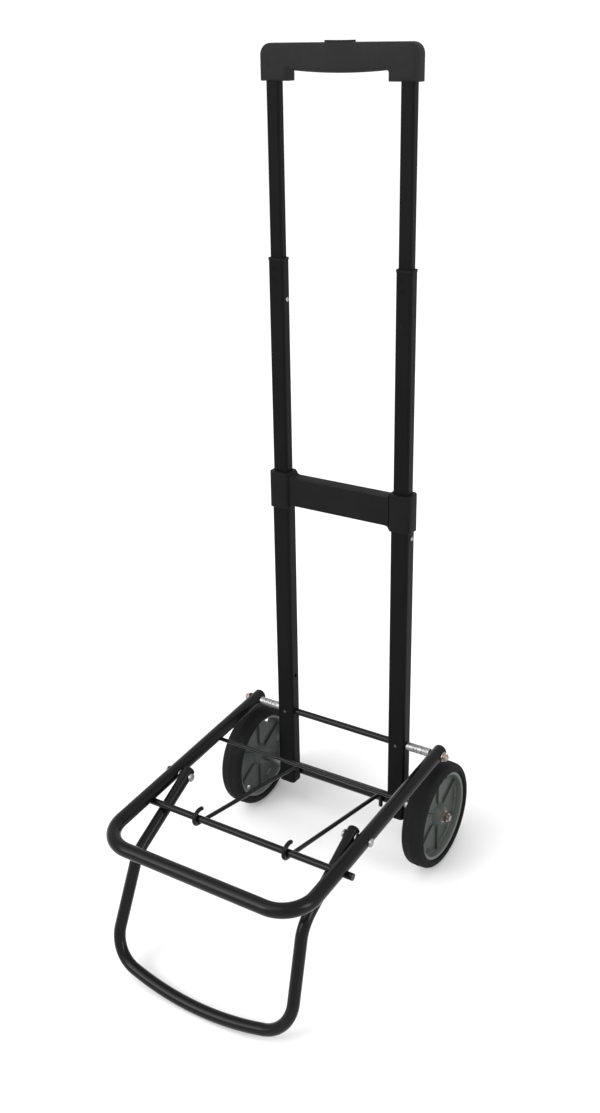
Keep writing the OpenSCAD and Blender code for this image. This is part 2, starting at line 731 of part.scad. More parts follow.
// The hook's two arcs: close round the rod, then wider and open above it
hook_a = 110;
lap_a = 3;
tip_r = 13;
tip_a = 80;
module hook_wire(side) {
    color(black) place() translate([side * wire_x, 0, 0]) {
        // straight run
        translate([0, -wire_rear_u, wire_rear_z]) rotate([-wire_a, 0, 0]) yrod(wire_r, wire_len + lap);
        translate([0, -wire_rear_u, wire_rear_z]) sphere(wire_r + thin);
        // end turned down in front of the cross tube
        translate([0, -wire_rear_u, wire_rear_z - wire_down]) cylinder(r = wire_r - thin, h = wire_down);
        translate([0, -wire_rear_u, wire_rear_z - wire_down]) sphere(wire_r);
        // hook around the front rod, open above it
        translate([0, -rod_u, rod_z]) {
            rise_arc(wire_r - thin, hook_r, wire_a, hook_a + lap_a);
            rotate([-wire_a - hook_a, 0, 0]) translate([0, 0, tip_r - hook_r]) {
                rise_arc(wire_r - 2 * thin, tip_r, 0, tip_a);
                rotate([-tip_a, 0, 0]) translate([0, 0, -tip_r]) sphere(wire_r - thin);
            }
        }
    }
}
module arm_washers() {
    color(steel) deck_frame() translate([0, -leg_pivot_s, 0]) for (s = [-1, 1]) scale([s, 1, 1])
        xring(rivet_head_r, leg_rivet_d / 2 + seat, leg_x + leg_r + rest_gap, arm_in - seat - arm_curve);
}
module leg_rivets() {
    color(steel) deck_frame() translate([0, -leg_pivot_s, 0]) for (s = [-1, 1]) scale([s, 1, 1]) {
        xrod(leg_rivet_d / 2, rivet_in - rivet_gap - 0.5, arm_out + 0.6);
        domed(rivet_head_r, arm_out + seat, arm_out + 1, rivet_dome);
        scale([-1, 1, 1]) domed(rivet_head_r, rivet_gap - rivet_in, rivet_gap + 1 - rivet_in, rivet_dome);
    }
}

// ---- leg ----
// In the lower part's plane, with zero on the bend line: the bow's centre lies bow_y up, and each
// corner's centre lies where an arc can touch both the spread arm and the bow
bend_cut = leg_bend_r * tan(leg_bend_a / 2);
bow_y = foot_bow_r - leg_low;
splay_dir = [sin(leg_splay), -cos(leg_splay)];
corner_from = [leg_x, -bend_cut] - leg_corner_r * [cos(leg_splay), sin(leg_splay)];
bow_reach = foot_bow_r - leg_corner_r;
bow_off = corner_from - [0, bow_y];
off_along = bow_off * splay_dir;
arm_len = sqrt(off_along * off_along - bow_off * bow_off + bow_reach * bow_reach) - off_along;
corner_at = corner_from + arm_len * splay_dir;
bow_a = asin(corner_at[0] / bow_reach);
bow_lap = 0.06;
module leg_frame() {
    color(black) leg_frame_of() difference() {
        union() {
            for (s = [-1, 1]) translate([s * leg_x, 0, 0]) {
                translate([0, leg_r, 0]) yrod(leg_r, leg_up - bend_cut + leg_r + lap);
                translate([0, -leg_up + bend_cut, -leg_bend_r]) rotate([0, -90, 0])
                    rotate([180, 0, 0]) rotate_extrude(angle = leg_bend_a)
                        translate([leg_bend_r, 0]) circle(leg_r - thin);
            }
            translate([0, -leg_up, 0]) rotate([leg_bend_a, 0, 0]) {
                for (s = [-1, 1]) scale([s, 1, 1]) {
                    translate([leg_x, -bend_cut, 0]) {
                        sphere(leg_r + thin);
                        rotate([0, 0, leg_splay]) yrod(leg_r, arm_len + lap);
                    }
                    translate(corner_at) rotate([0, 0, bow_a - 90])
                        rotate_extrude(angle = 90 - bow_a + leg_splay)
                            translate([leg_corner_r, 0]) circle(leg_r - thin);
                }
                translate([0, bow_y, 0]) rotate([0, 0, -90 - bow_a - bow_lap])
                    rotate_extrude(angle = 2 * (bow_a + bow_lap), $fn = 240)
                        translate([foot_bow_r, 0]) circle(leg_r);
            }
        }
        for (s = [-1, 1]) translate([s * leg_x, leg_r + 1, 0]) yrod(leg_r - tube_t, 34);
        xrod(leg_rivet_d / 2 + pivot_fit, -leg_x - deck_d, leg_x + deck_d);
    }
}
module leg_end_caps() {
    color(plastic) leg_frame_of() for (s = [-1, 1]) translate([s * leg_x, 0, 0]) difference() {
        end_cap(leg_r, tube_t, 26);
        xrod(leg_rivet_d / 2 + pivot_fit, -deck_d, deck_d);
    }
}
module leg_washers() {
    color(steel) leg_frame_of() for (s = [-1, 1]) scale([s, 1, 1])
        xring(rivet_head_r - 0.3, leg_rivet_d / 2 + pivot_fit, rivet_in - rivet_gap + seat, rivet_in - seat);
}

lower_upright(-1);  // left_lower_upright
lower_upright(1);  // right_lower_upright
upright_plug(-1);  // left_upright_plug
upright_plug(1);  // right_upright_plug
cross_tube();
wheel_axle();
axle_spacers();
axle_washers();
axle_nuts();
pivot_rod();
pivot_sleeve();
pivot_spacer(-1);  // left_pivot_spacer
pivot_spacer(1);  // right_pivot_spacer
pivot_washers();
pivot_cap_nuts();
upright_rivets();
stage_bracket();
bracket_screws();
middle_tube(-1);  // left_middle_tube
middle_tube(1);  // right_middle_tube
middle_guide_shoes();
middle_top_collars();
lower_spring_clips();
upper_tube(-1);  // left_upper_tube
upper_tube(1);  // right_upper_tube
upper_guide_shoes();
upper_spring_clips();
handle_shell(-1);  // handle_front_shell
handle_shell(1);  // handle_back_shell
handle_screws();
release_spring();
release_button();
release_yoke();
release_rods();
snap_pin(-stage_x + middle_w / 2, 1, upper_pin_z);  // left_upper_pin
snap_pin(stage_x - middle_w / 2, -1, upper_pin_z);  // right_upper_pin
snap_pin(-stage_x - lower_w / 2, -1, lower_pin_z);  // left_lower_pin
snap_pin(stage_x + lower_w / 2, 1, lower_pin_z);  // right_lower_pin
hub(-1);  // left_hub
tyre(-1);  // left_tyre
hub(1);  // right_hub
tyre(1);  // right_tyre
platform_frame();
arm_end_caps();
rear_cross_rod();
front_cross_rod();
hook_wire(-1);  // left_hook_wire
hook_wire(1);  // right_hook_wire
arm_washers();
leg_rivets();
leg_frame();
leg_end_caps();
leg_washers();
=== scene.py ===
import json
import math
import bmesh
import bpy
from mathutils import Matrix, Vector


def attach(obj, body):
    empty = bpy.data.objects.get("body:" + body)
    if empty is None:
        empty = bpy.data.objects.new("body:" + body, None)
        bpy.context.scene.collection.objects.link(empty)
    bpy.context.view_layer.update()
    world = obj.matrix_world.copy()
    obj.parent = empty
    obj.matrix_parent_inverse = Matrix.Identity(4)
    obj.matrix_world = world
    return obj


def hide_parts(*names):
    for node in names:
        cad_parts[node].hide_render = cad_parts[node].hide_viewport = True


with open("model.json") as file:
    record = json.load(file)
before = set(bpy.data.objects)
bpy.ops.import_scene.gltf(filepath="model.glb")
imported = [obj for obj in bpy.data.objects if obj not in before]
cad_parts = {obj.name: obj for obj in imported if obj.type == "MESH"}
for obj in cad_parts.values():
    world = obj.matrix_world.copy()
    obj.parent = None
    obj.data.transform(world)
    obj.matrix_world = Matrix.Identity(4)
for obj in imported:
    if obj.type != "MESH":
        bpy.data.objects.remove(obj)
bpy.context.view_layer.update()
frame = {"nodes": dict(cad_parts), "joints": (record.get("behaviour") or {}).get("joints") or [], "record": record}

nodes = frame["nodes"]
joints = {j["name"]: j for j in frame["joints"]}
scene = bpy.context.scene
mm = 0.001
nearly = 1e-6  # two heights closer than this are the same
cornerAngle = 1  # radians, an edge that turns more than this is a corner
xAxis = Vector((1, 0, 0))


def frameFrom(origin, xDir, zDir):
    turn = Matrix((xDir, zDir.cross(xDir), zDir)).transposed()
    return Matrix.Translation(origin) @ turn.to_4x4()


# the uprights' own frame: zero on the wheel axle, Z along the tubes
axlePoint = Vector((0, *joints["left_wheel_spin"]["pos_m"][1:]))
upDir = Vector(joints["middle_stage_slide"]["axis"]).normalized()
uprightFrame = frameFrom(axlePoint, xAxis, upDir)


def extent(nodeName):  # a node's lowest and highest corners, measured in the uprights' frame
    back = uprightFrame.inverted()
    points = [back @ v.co for v in nodes[nodeName].data.vertices]
    low = Vector([min(p[i] for p in points) for i in range(3)])
    high = Vector([max(p[i] for p in points) for i in range(3)])
    return low, high


class Wire:  # a node's output, for sums written as Python
    def __init__(self, finish, socket):
        self.finish, self.socket = finish, socket

    def calc(self, operation, first, second):
        return self.finish.node("ShaderNodeMath", {"operation": operation}, {0: first, 1: second})

    def __add__(self, other):
        return self.calc("ADD", self, other)

    def __radd__(self, other):
        return self.calc("ADD", other, self)

    def __sub__(self, other):
        return self.calc("SUBTRACT", self, other)

    def __rsub__(self, other):
        return self.calc("SUBTRACT", other, self)

    def __mul__(self, other):
        return self.calc("MULTIPLY", self, other)

    def __rmul__(self, other):
        return self.calc("MULTIPLY", other, self)


class Finish:
    def __init__(self, name):
        self.material = bpy.data.materials.new(name)
        self.material.use_nodes = True
        self.tree = self.material.node_tree
        self.shader = self.tree.nodes["Principled BSDF"]
        self.place = self.node("ShaderNodeTexCoord", output="Object")

    def put(self, socket, value):
        if isinstance(value, Wire):
            self.tree.links.new(value.socket, socket)
        else:
            socket.default_value = value

    def node(self, kind, settings={}, inputs={}, output=0):
        made = self.tree.nodes.new(kind)
        for key, value in settings.items():
            setattr(made, key, value)
        for key, value in inputs.items():
            self.put(made.inputs[key], value)
        return Wire(self, made.outputs[output])

    def grain(self, scale, detail, stretch=(1, 1, 1), rough=0.55):
        spot = self.node("ShaderNodeMapping", {}, {"Vector": self.place, "Scale": stretch})
        values = {"Vector": spot, "Scale": scale, "Detail": detail, "Roughness": rough}
        return self.node("ShaderNodeTexNoise", {}, values)

    def step(self, value, low, high):  # 0 below low, 1 above high
        return self.node("ShaderNodeMapRange", {"interpolation_type": "SMOOTHSTEP"},
                         {"Value": value, "From Min": low, "From Max": high})

    def blend(self, factor, first, second):
        return self.node("ShaderNodeMix", {"data_type": "RGBA"}, {0: factor, 6: first, 7: second}, 2)

    def vector(self, operation, first, second, output=0):
        return self.node("ShaderNodeVectorMath", {"operation": operation}, {0: first, 1: second}, output)

    def bump(self, height, strength, depth):
        return self.node("ShaderNodeBump", {}, {"Height": height, "Strength": strength, "Distance": depth})

    def finish(self, **values):
        for key, value in values.items():
            self.put(self.shader.inputs[key.replace("_", " ")], value)
        return self.material


def shade(level, warm=0.0):
    return (level * (1 + warm), level, level * (1 - warm), 1)


# in every look: a grain is (scale, detail), a mask is (from, to), a bump is (strength, depth)
enamelLook = {"dark": shade(0.003), "light": shade(0.006), "scuff": shade(0.028, 0.05), "scuffAmount": 0.45,
              "patches": (14, 4), "streaks": (260, 3), "along": (1, 1, 0.04), "peel": (900, 2),
              "streakMask": (0.64, 0.76), "patchMask": (0.48, 0.62), "peelBump": (0.06, 0.0004),
              "rough": 0.38, "roughSpread": 0.12, "scuffRough": 0.1, "gloss": 0.055}


def satinEnamel():  # sprayed satin enamel with a faint orange peel and rubbed streaks along the tube
    made, look = Finish("satinEnamel"), enamelLook
    patches = made.grain(*look["patches"])
    streaks = made.grain(*look["streaks"], look["along"])
    rubbed = made.step(streaks, *look["streakMask"]) * made.step(patches, *look["patchMask"])
    peel = made.grain(*look["peel"])
    colour = made.blend(patches, look["dark"], look["light"])
    return made.finish(
        Base_Color=made.blend(rubbed * look["scuffAmount"], colour, look["scuff"]),
        Roughness=look["rough"] + patches * look["roughSpread"] + rubbed * look["scuffRough"],
        Normal=made.bump(peel, *look["peelBump"]), Specular_IOR_Level=look["gloss"])


paintLook = {"dark": shade(0.003), "light": shade(0.006), "dust": shade(0.035, 0.04), "dustAmount": 0.45,
             "waves": (60, 2), "patches": (9, 4), "specks": (520, 2), "speckMask": (0.66, 0.74),
             "patchMask": (0.5, 0.66), "waveBump": (0.1, 0.0006), "rough": 0.16, "roughSpread": 0.1,
             "dustRough": 0.25, "gloss": 0.15}


def glossPaint():  # thick gloss paint, slightly wavy, with a little dust
    made, look = Finish("glossPaint"), paintLook
    waves = made.grain(*look["waves"])
    patches = made.grain(*look["patches"])
    specks = made.step(made.grain(*look["specks"]), *look["speckMask"]) * made.step(patches, *look["patchMask"])
    colour = made.blend(patches, look["dark"], look["light"])
    return made.finish(
        Base_Color=made.blend(specks * look["dustAmount"], colour, look["dust"]),
        Roughness=look["rough"] + patches * look["roughSpread"] + specks * look["dustRough"],
        Normal=made.bump(waves, *look["waveBump"]), Specular_IOR_Level=look["gloss"])


# the second plastic is a lighter copy of the same moulded plastic, painted light: the handle and button are drawn
# brighter than the bracket, as if lit more
plasticLook = {"mouldedPlastic": (shade(0.004), shade(0.0075)), "paintedLitPlastic": (shade(0.012), shade(0.018)),
               "cells": 1500.0, "cellSoft": 0.6, "fine": (2400, 2), "fineShare": 0.5, "patches": (22, 4),
               "polishMask": (0.52, 0.68), "rough": 0.5, "roughSpread": 0.12, "polish": 0.1,
               "textureBump": (0.3, 0.0004), "gloss": 0.08}


def plastic(name):  # spark-eroded texture, slightly polished in patches
    made, look = Finish(name), plasticLook
    dark, light = look[name]
    texture = made.node("ShaderNodeTexVoronoi", {"feature": "SMOOTH_F1"},
                        {"Vector": made.place, "Scale": look["cells"], "Smoothness": look["cellSoft"]},
                        "Distance")
    fine = made.grain(*look["fine"])
    patches = made.grain(*look["patches"])
    polished = made.step(patches, *look["polishMask"])
    return made.finish(
        Base_Color=made.blend(patches, dark, light),
        Roughness=look["rough"] + fine * look["roughSpread"] - polished * look["polish"],
        Normal=made.bump(texture + fine * look["fineShare"], *look["textureBump"]),
        Specular_IOR_Level=look["gloss"])


rubberLook = {"dark": shade(0.007), "light": shade(0.012), "dust": shade(0.035, 0.08), "dustAmount": 0.4,
              "pores": (1300, 3), "patches": (30, 5), "specks": (300, 3), "patchMask": (0.52, 0.72),
              "speckMask": (0.5, 0.7), "rough": 0.72, "roughSpread": 0.16, "poreBump": (0.4, 0.0004),
              "gloss": 0.08}


def tyreRubber():
    made, look = Finish("tyreRubber"), rubberLook
    pores = made.grain(*look["pores"])
    patches = made.grain(*look["patches"])
    dusty = made.step(patches, *look["patchMask"]) * made.step(made.grain(*look["specks"]), *look["speckMask"])
    colour = made.blend(patches, look["dark"], look["light"])
    return made.finish(
        Base_Color=made.blend(dusty * look["dustAmount"], colour, look["dust"]),
        Roughness=look["rough"] + pores * look["roughSpread"],
        Normal=made.bump(pores, *look["poreBump"]), Specular_IOR_Level=look["gloss"])


# the rim colour and its radial mask are a painted highlight: the raised rim is drawn paler than the web, as if
# catching more light
hubLook = {"dark": (0.032, 0.039, 0.035, 1), "light": (0.056, 0.065, 0.059, 1),
           "rim": (0.11, 0.122, 0.114, 1), "mark": (0.025, 0.028, 0.026, 1),
           "rimHighlightMask": (57.5 * mm, 59.5 * mm), "flow": (45, 5), "flowRough": 0.6, "fine": (900, 2),
           "marks": (120, 4), "markMask": (0.62, 0.75), "markAmount": 0.4, "rough": 0.42, "roughSpread": 0.16,
           "fineBump": (0.15, 0.0003), "gloss": 0.3}


def hubPlastic():  # grey-green nylon with flow marks, its rim painted paler than its web as a painted highlight
    made, look = Finish("hubPlastic"), hubLook
    flow = made.grain(*look["flow"], rough=look["flowRough"])
    fine = made.grain(*look["fine"])
    marks = made.step(made.grain(*look["marks"]), *look["markMask"])
    # painted highlight: a band at the rim's radius is made paler all the way round
    acrossAxle = made.vector("MULTIPLY", made.vector("SUBTRACT", made.place, axlePoint), (0, 1, 1))
    rim = made.step(made.vector("LENGTH", acrossAxle, (0, 0, 0), "Value"), *look["rimHighlightMask"])
    colour = made.blend(rim, made.blend(flow, look["dark"], look["light"]), look["rim"])
    return made.finish(
        Base_Color=made.blend(marks * look["markAmount"], colour, look["mark"]),
        Roughness=look["rough"] + fine * look["roughSpread"],
        Normal=made.bump(fine, *look["fineBump"]), Specular_IOR_Level=look["gloss"])


# each metal: dull colour, bright colour, roughness
metalLook = {"brightZinc": ((0.20, 0.20, 0.205, 1), (0.38, 0.375, 0.37, 1), 0.3),
             "yellowZinc": ((0.25, 0.195, 0.165, 1), (0.42, 0.345, 0.30, 1), 0.3),
             "springSteel": ((0.2, 0.2, 0.21, 1), (0.36, 0.36, 0.36, 1), 0.34),
             "darkRivet": ((0.05, 0.05, 0.05, 1), (0.13, 0.13, 0.13, 1), 0.35),
             "marks": (420, 3), "around": (0.1, 1, 1), "stains": (140, 4), "stainMask": (0.5, 0.7),
             "stainAmount": 0.45, "stainShade": 0.4, "markRough": 0.12, "stainRough": 0.15,
             "markBump": (0.05, 0.0001)}


def metal(name):  # plated or bare steel with fine tool marks and stains
    made, look = Finish(name), metalLook
    dull, bright, rough = look[name]
    marks = made.grain(*look["marks"], look["around"])
    stained = made.step(made.grain(*look["stains"]), *look["stainMask"])
    stain = tuple(c * look["stainShade"] for c in dull[:3]) + (1,)
    return made.finish(
        Base_Color=made.blend(stained * look["stainAmount"], made.blend(marks, dull, bright), stain),
        Metallic=1.0, Roughness=rough + marks * look["markRough"] + stained * look["stainRough"],
        Normal=made.bump(marks, *look["markBump"]))


nylonLook = {"dark": (0.42, 0.41, 0.38, 1), "light": (0.6, 0.59, 0.55, 1), "fine": (300, 3), "rough": 0.4,
             "roughSpread": 0.15, "fineBump": (0.1, 0.0003)}


def clearNylon():
    made, look = Finish("clearNylon"), nylonLook
    fine = made.grain(*look["fine"])
    return made.finish(Base_Color=made.blend(fine, look["dark"], look["light"]),
                       Roughness=look["rough"] + fine * look["roughSpread"],
                       Normal=made.bump(fine, *look["fineBump"]))


looks = {
    "black_enamel": satinEnamel(),
    "gloss_black_paint": glossPaint(),
    "black_plastic": plastic("mouldedPlastic"),
    "tyre_rubber": tyreRubber(),
    "hub_plastic": hubPlastic(),
    "plated_steel": metal("brightZinc"),
    "zinc_yellow": metal("yellowZinc"),
    "spring_steel": metal("springSteel"),
    "nylon": clearNylon(),
}
nodeLooks = {"pivot_cap_nuts": looks["zinc_yellow"], "upright_rivets": metal("darkRivet")}
# painted light: the handle and button get the lighter copy of the moulded plastic
paintedLitPlastic = plastic("paintedLitPlastic")
for part in frame["record"]["subparts"]:
    mesh = nodes[part["node"]].data
    mesh.materials.clear()
    mesh.materials.append(nodeLooks.get(part["node"], looks[part["material_slot"]]))
print("finishes made and given to", len(nodes), "nodes")


def newObject(name, bm, matrix):  # the bmesh as an object at the origin, its place in its mesh
    bm.transform(matrix)
    mesh = bpy.data.meshes.new(name)
    bm.to_mesh(mesh)
    bm.free()
    made = bpy.data.objects.new(name, mesh)
    scene.collection.objects.link(made)
    return made


def smooth(piece, sharp):  # smooth shading, with edges over the angle kept sharp
    piece.data.shade_smooth()
    piece.data.set_sharp_from_angle(angle=math.radians(sharp))


def addPiece(name, bm, matrix, body, slotName, stands, sharp=35, look=None):
    bmesh.ops.remove_doubles(bm, verts=bm.verts, dist=nearly)
    bmesh.ops.recalc_face_normals(bm, faces=bm.faces)
    piece = newObject(name, bm, matrix)
    piece.data.materials.append(look or looks[slotName])
    smooth(piece, sharp)
    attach(piece, body)
    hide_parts(stands)


def arc(centreA, centreB, radius, start, end, count):  # points of an arc, angles in degrees
    steps = [math.radians(start + (end - start) * i / count) for i in range(count + 1)]
    return [(centreA + radius * math.cos(a), centreB + radius * math.sin(a)) for a in steps]


def lathe(outline, steps):  # closed outline of (x, radius), spun about the X axis
    bm = bmesh.new()
    verts = [bm.verts.new((x, 0, r)) for x, r in outline]
    edges = [bm.edges.new(pair) for pair in zip(verts, verts[1:] + verts[:1])]
    bmesh.ops.spin(bm, geom=verts + edges, cent=(0, 0, 0), axis=(1, 0, 0), angle=2 * math.pi,
                   steps=steps, use_merge=True, use_duplicate=False)
    return bm


def merge(target, other, matrix=Matrix.Identity(4)):  # adds one bmesh to another
    other.transform(matrix)
    mesh = bpy.data.meshes.new("part")
    other.to_mesh(mesh)
    other.free()
    target.from_mesh(mesh)
    bpy.data.meshes.remove(mesh)


def extrude(bm, faces, move):
    grown = bmesh.ops.extrude_face_region(bm, geom=faces)["geom"]
    bmesh.ops.translate(bm, verts=[v for v in grown if isinstance(v, bmesh.types.BMVert)], vec=move)


def cutAcross(bm, spot):  # new edges where the plane x = spot meets the mesh
    bmesh.ops.bisect_plane(bm, geom=bm.verts[:] + bm.edges[:] + bm.faces[:],
                           plane_co=(spot, 0, 0), plane_no=(1, 0, 0))


def loopOf(bm, points, height):  # closed loop of edges in a level plane
    verts = [bm.verts.new((x, y, height)) for x, y in points]
    return [bm.edges.new(pair) for pair in zip(verts, verts[1:] + verts[:1])]


def roundedRect(width, depth, radius, count=5):
    a, b = width / 2 - radius, depth / 2 - radius
    corners = [(a, b, 0), (-a, b, 90), (-a, -b, 180), (a, -b, 270)]
    return [p for x, y, start in corners for p in arc(x, y, radius, start, start + 90, count)]


def roundEnded(width, depth, x, low, high):  # upright block with half-round ends
    bm = bmesh.new()
    radius = depth / 2 - 0.01 * mm
    edges = loopOf(bm, [(x + px, py) for px, py in roundedRect(width, depth, radius, 8)], low)
    bmesh.ops.contextual_create(bm, geom=edges)
    extrude(bm, bm.faces[:], (0, 0, high - low))
    return bm


def bevel(bm, edges, radius, segments, clamp=True):
    bmesh.ops.bevel(bm, geom=edges, offset=radius, segments=segments, profile=0.5,
                    affect="EDGES", material=-1, clamp_overlap=clamp)


def softBox(size, centre, radius, segments):
    bm = bmesh.new()
    bmesh.ops.create_cube(bm, size=1, matrix=Matrix.Translation(centre) @ Matrix.Diagonal((*size, 1)))
    bevel(bm, bm.edges[:], radius, segments, clamp=False)
    return bm


def splitFaces(bm):  # many-sided faces into triangles, at a thousand times the size for an exact split
    bmesh.ops.scale(bm, verts=bm.verts, vec=(1 / mm, 1 / mm, 1 / mm))
    bmesh.ops.triangulate(bm, faces=[f for f in bm.faces if len(f.verts) > 4])
    bmesh.ops.scale(bm, verts=bm.verts, vec=(mm, mm, mm))


def edgesAt(bm, test):  # edges whose middle passes the test
    return [e for e in bm.edges if test((e.verts[0].co + e.verts[1].co) / 2, e)]


def isCorner(edge):
    return len(edge.link_faces) == 2 and edge.calc_face_angle(0) > cornerAngle


tyreShape = {"shoulder": 8 * mm, "bead": 2 * mm, "crown": 0.6 * mm, "seam": 0.5 * mm, "seamTop": 0.2 * mm,
             "seamDeep": 0.2 * mm, "wallIn": 0.5 * mm, "ridgeLow": 4 * mm, "ridgeHigh": 4.6 * mm,
             "fit": 0.05 * mm, "steps": 128}


def tyreMesh(side):
    low, high = extent(side + "_tyre")
    shape = tyreShape
    half, outer, inner = (high.x - low.x) / 2, high.z, extent(side + "_hub")[1].z + shape["fit"]
    shoulder, bead, wallIn = shape["shoulder"], shape["bead"], shape["wallIn"]
    seam, seamTop = shape["seam"], shape["seamTop"]
    ridgeLow, ridgeHigh = inner + shape["ridgeLow"], inner + shape["ridgeHigh"]
    shoulderX, shoulderR = half - shoulder - wallIn, outer - shape["crown"] - shoulder
    under = outer - shape["seamDeep"]
    outline = arc(-half + bead, inner + bead, bead, 270, 180, 4)
    outline += [(-half, ridgeLow), (-half + wallIn, ridgeHigh)]  # ridge round the side wall
    outline += arc(-shoulderX, shoulderR, shoulder, 180, 100, 8)
    outline += [(-seam, under), (-seamTop, outer), (seamTop, outer), (seam, under)]  # mould seam
    outline += arc(shoulderX, shoulderR, shoulder, 80, 0, 8)
    outline += [(half - wallIn, ridgeHigh), (half, ridgeLow)]
    outline += arc(half - bead, inner + bead, bead, 0, -90, 4)
    return lathe(outline, shape["steps"])


hubShape = {"rimWall": 4.5 * mm, "rimHalf": 12.5 * mm, "lip": 1 * mm, "webHalf": 1.8 * mm, "bossR": 14 * mm,
            "boreR": 4.1 * mm, "bossShort": 0.2 * mm, "bossFoot": 7 * mm, "bossSlope": (2 * mm, 3 * mm),
            "bossSoft": (1.5 * mm, 1 * mm, 2.5 * mm), "rimSoft": (1.5 * mm, 0.6 * mm, 2 * mm), "steps": 144,
            "ribs": 6, "ribHalf": 0.6 * mm, "ribRise": 4 * mm, "ribSunk": 0.5 * mm, "ribInto": 3 * mm,
            "ribSoft": 0.35 * mm, "windowIn": 9 * mm, "windowOut": 2.5 * mm, "windowEdge": 0.2 * mm,
            "windowTurn": 8}


def openWindow(bm, middle, gapIn, gapOut):  # a hole through the web, at an angle in degrees
    web, wide = hubShape["webHalf"], hubShape["windowTurn"]

    def inWindow(face):
        c = face.calc_center_median()
        turn = (math.degrees(math.atan2(c.y, c.z)) - middle + 180) % 360 - 180
        onWeb = abs(abs(c.x) - web) < 10 * nearly
        return onWeb and abs(turn) < wide and gapIn < math.hypot(c.y, c.z) < gapOut
    gone = [f for f in bm.faces if inWindow(f)]
    edges = [e for f in gone for e in f.edges if sum(g in gone for g in e.link_faces) == 1]
    bmesh.ops.delete(bm, geom=gone, context="FACES")
    bmesh.ops.bridge_loops(bm, edges=[e for e in edges if e.is_valid])


def hubMesh(side):
    low, high = extent(side + "_hub")
    shape = hubShape
    outer = high.z
    rim, half, lip, web = outer - shape["rimWall"], shape["rimHalf"], shape["lip"], shape["webHalf"]
    boss, bossHalf = shape["bossR"], (high.x - low.x) / 2 - shape["bossShort"]
    gapIn, gapOut = rim - shape["windowIn"], rim - shape["windowOut"]
    rimOut, rimUp, rimFoot = shape["rimSoft"]
    slopeOut, slopeUp = shape["bossSlope"]
    softIn, softUp, softDown = shape["bossSoft"]
    outline = [(half - lip, outer), (half, outer - lip), (half, rim + lip), (half - lip, rim),  # rim
               (web + rimOut, rim - rimUp), (web, rim - rimFoot), (web, gapOut - shape["windowEdge"]),  # web
               (web, gapIn), (web, boss + shape["bossFoot"]), (web + slopeOut, boss + slopeUp),
               (bossHalf - softIn, boss - softUp), (bossHalf, boss - softDown), (bossHalf, shape["boreR"])]
    outline += [(-x, r) for x, r in reversed(outline)]
    bm = lathe(outline, shape["steps"])
    count, rise = shape["ribs"], shape["ribRise"]
    for k in range(count):
        openWindow(bm, (k + 0.5) * 360 / count, gapIn, gapOut)
    for k in range(count):
        for way in (-1, 1):
            size = (rise, shape["ribHalf"] * 2, rim - boss + shape["ribInto"])
            centre = (way * (web - shape["ribSunk"] + rise / 2), 0, (rim + boss) / 2)
            rib = softBox(size, centre, shape["ribSoft"], 2)
            merge(bm, rib, Matrix.Rotation(math.radians(k * 360 / count), 4, "X"))
    return bm


for side in ("left", "right"):
    for pieceName, nodeName, make, slotName in (("Tyre", "_tyre", tyreMesh, "tyre_rubber"),
                                                ("Hub", "_hub", hubMesh, "hub_plastic")):
        low, high = extent(side + nodeName)
        place = uprightFrame @ Matrix.Translation(((low.x + high.x) / 2, 0, 0))
        addPiece(side + pieceName, make(side), place, "wheel_" + side, slotName, side + nodeName)
print("wheels done")

spacerShape = {"groove": 0.8 * mm, "grooveHalf": 1.1 * mm, "chamfer": 0.6 * mm, "boreR": 3.05 * mm,
               "spots": (0.3, 0.5, 0.62), "steps": 48}


def spacerMesh(low, high):  # turned sleeve with narrow grooves
    shape = spacerShape
    radius, length, chamfer, bore = (high.z - low.z) / 2, high.x - low.x, shape["chamfer"], shape["boreR"]
    wide, deep = shape["grooveHalf"], radius - shape["groove"]
    outline = [(0, bore), (0, radius - chamfer), (chamfer, radius)]
    for spot in shape["spots"]:
        middle = length * spot
        outline += [(middle - wide, radius), (middle - wide / 2, deep), (middle + wide / 2, deep),
                    (middle + wide, radius)]
    outline += [(length - chamfer, radius), (length, radius - chamfer), (length, bore)]
    return lathe(outline, shape["steps"])


for side, outerEnd, turned in (("left", 0, 0), ("right", 1, math.pi)):
    low, high = extent(side + "_pivot_spacer")
    start = (low, high)[outerEnd].x  # the end beside the arm
    place = Matrix.Translation((start, (low.y + high.y) / 2, (low.z + high.z) / 2))
    place = uprightFrame @ place @ Matrix.Rotation(turned, 4, "Z")
    addPiece(side + "PivotSpacer", spacerMesh(low, high), place, "lower_frame", "plated_steel",
             side + "_pivot_spacer", sharp=25)
print("spacers done")

handleShape = {"cornerR": 13 * mm, "socket": 38 * mm, "step": 12 * mm, "belly": 3 * mm, "stepR": 2.5 * mm,
               "edgeR": 6 * mm, "edgeSegments": 5, "wall": 2.4 * mm, "slotGap": 0.35 * mm, "slotUnder": 1 * mm,
               "tubeGap": 0.2 * mm, "tubeHole": 6 * mm, "dimpleR": 12 * mm, "dimpleDeep": 0.6 * mm,
               "dimpleUp": 16 * mm, "sharp": 38}
cutPast = 5 * mm  # how far a cutter stands past the surface it opens


def handleOutline(a, top, foot):  # (x, z) points round the handle, seen from the front
    shape = handleShape
    r, rs = shape["cornerR"], shape["stepR"]
    stepX, grip = a - shape["socket"], foot + shape["step"]
    span = stepX - rs
    points = arc(a - r, top - r, r, 0, 90, 8) + arc(-a + r, top - r, r, 90, 180, 8)
    points += [(-a, foot), (-stepX, foot)] + arc(-span, grip - rs, rs, 180, 90, 4)
    points += [(span * t, grip - shape["belly"] * (1 - t * t)) for t in [i / 8 for i in range(-7, 8)]]
    return points + arc(span, grip - rs, rs, 90, 0, 4) + [(stepX, foot), (a, foot)]


